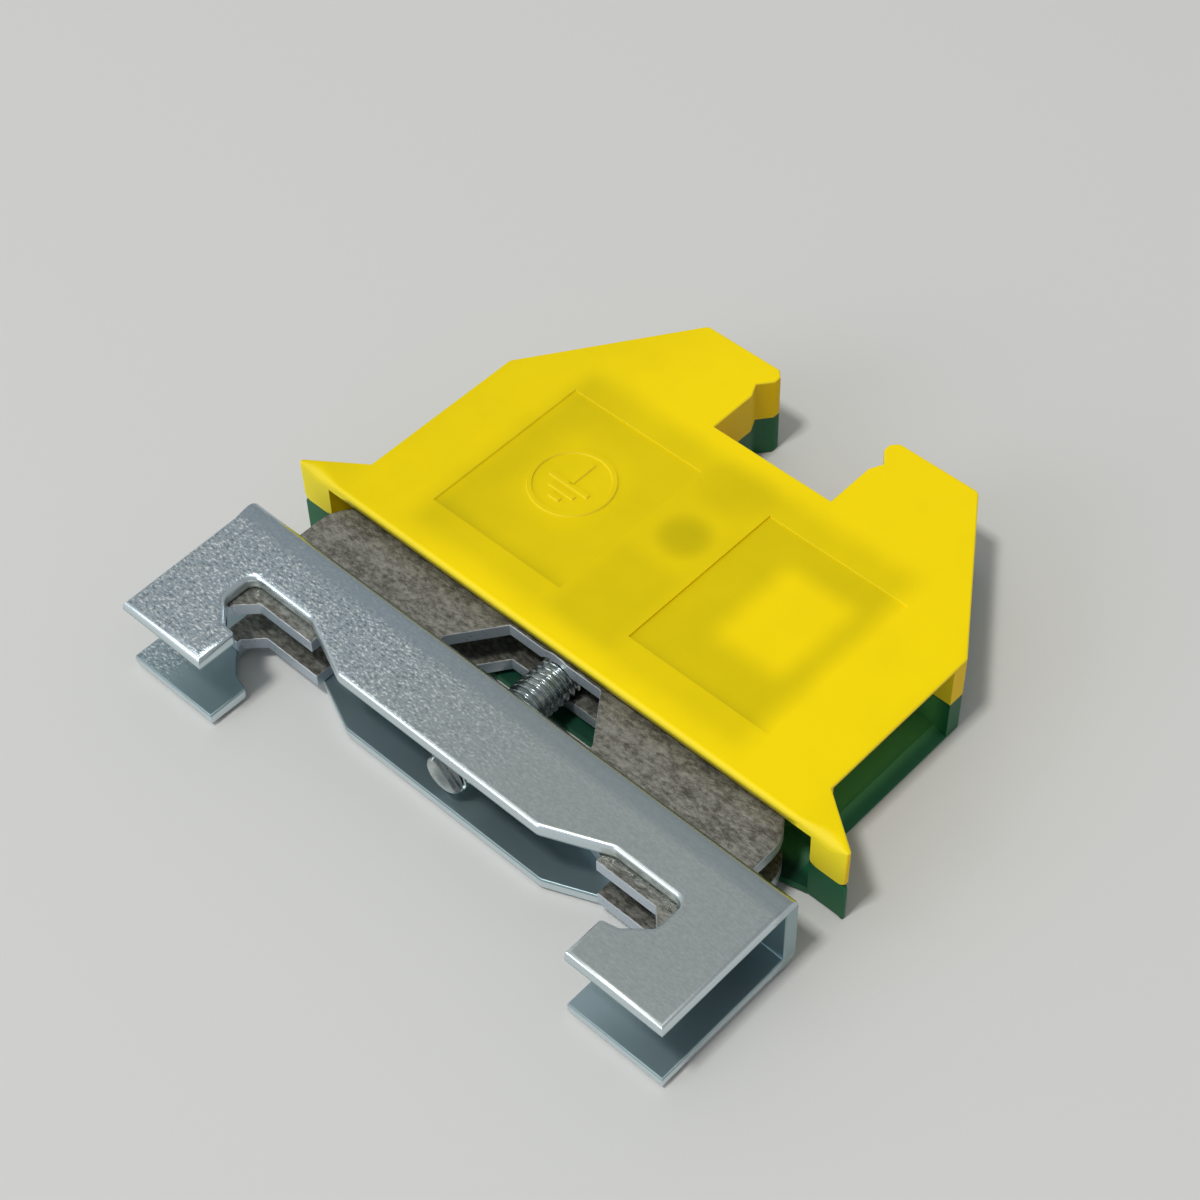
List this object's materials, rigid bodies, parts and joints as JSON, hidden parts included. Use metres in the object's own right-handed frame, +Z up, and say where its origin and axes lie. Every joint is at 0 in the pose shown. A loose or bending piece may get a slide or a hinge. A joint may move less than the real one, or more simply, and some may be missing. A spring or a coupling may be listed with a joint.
{
  "type": "earth terminal block",
  "caption": "Slim rail-mounted earth terminal block: yellow and green snap-together housing, screw-clamped metal rail foot, and a clamping yoke with terminal screw at each end.",
  "frame": {"origin": "middle of the footprint, on the green face that the block lies on", "axes": "+X along the conductors, +Y from the rail foot up to the screw openings, +Z up through the thickness from the green half to the yellow half"},
  "size_m": [0.0462, 0.0428, 0.0068],
  "materials": {
    "yellow_plastic": "satin moulded polyamide, slightly translucent",
    "green_plastic": "satin moulded polyamide",
    "dull_plate": "dull mottled plating",
    "tinned_brass": "thin tin over brass",
    "bright_zinc": "bright zinc plating with a blue tint",
    "screw_zinc": "bright zinc plating",
    "yoke_zinc": "zinc plating"
  },
  "bodies": {
    "housing": {"yellow_half": "yellow_plastic", "green_half": "green_plastic", "upper_contact_plate": "dull_plate", "lower_contact_plate": "dull_plate", "current_bar": "tinned_brass"},
    "rail_foot": {"rail_foot": "bright_zinc"},
    "rail_screw": {"rail_screw": "screw_zinc"},
    "left_clamping_yoke": {"left_clamping_yoke": "yoke_zinc"},
    "right_clamping_yoke": {"right_clamping_yoke": "yoke_zinc"},
    "left_terminal_screw": {"left_terminal_screw": "screw_zinc"},
    "right_terminal_screw": {"right_terminal_screw": "screw_zinc"}
  },
  "joints": [
    {"name": "rail_screw_turn", "type": "hinge", "parent": "housing", "child": "rail_screw", "pos_m": [0, 0, 0.0034], "axis": [0, -1, 0], "range_deg": [-2160, 2160]},
    {"name": "rail_foot_slide", "type": "slide", "parent": "housing", "child": "rail_foot", "axis": [0, 1, 0], "range_m": [-0.003, 0.003]},
    {"name": "left_terminal_screw_turn", "type": "hinge", "parent": "housing", "child": "left_terminal_screw", "pos_m": [-0.0083, 0, 0.0034], "axis": [0, -1, 0], "range_deg": [0, 2448]},
    {"name": "left_yoke_slide", "type": "slide", "parent": "housing", "child": "left_clamping_yoke", "axis": [0, 1, 0], "range_m": [0, 0.0034]},
    {"name": "right_terminal_screw_turn", "type": "hinge", "parent": "housing", "child": "right_terminal_screw", "pos_m": [0.0083, 0, 0.0034], "axis": [0, -1, 0], "range_deg": [0, 2448]},
    {"name": "right_yoke_slide", "type": "slide", "parent": "housing", "child": "right_clamping_yoke", "axis": [0, 1, 0], "range_m": [0, 0.0034]}
  ],
  "couplings": [
    {"joint": "rail_screw_turn", "follows": "rail_foot_slide", "rad_per_m": 12566},
    {"joint": "left_terminal_screw_turn", "follows": "left_yoke_slide", "rad_per_m": 12566},
    {"joint": "right_terminal_screw_turn", "follows": "right_yoke_slide", "rad_per_m": 12566}
  ]
}
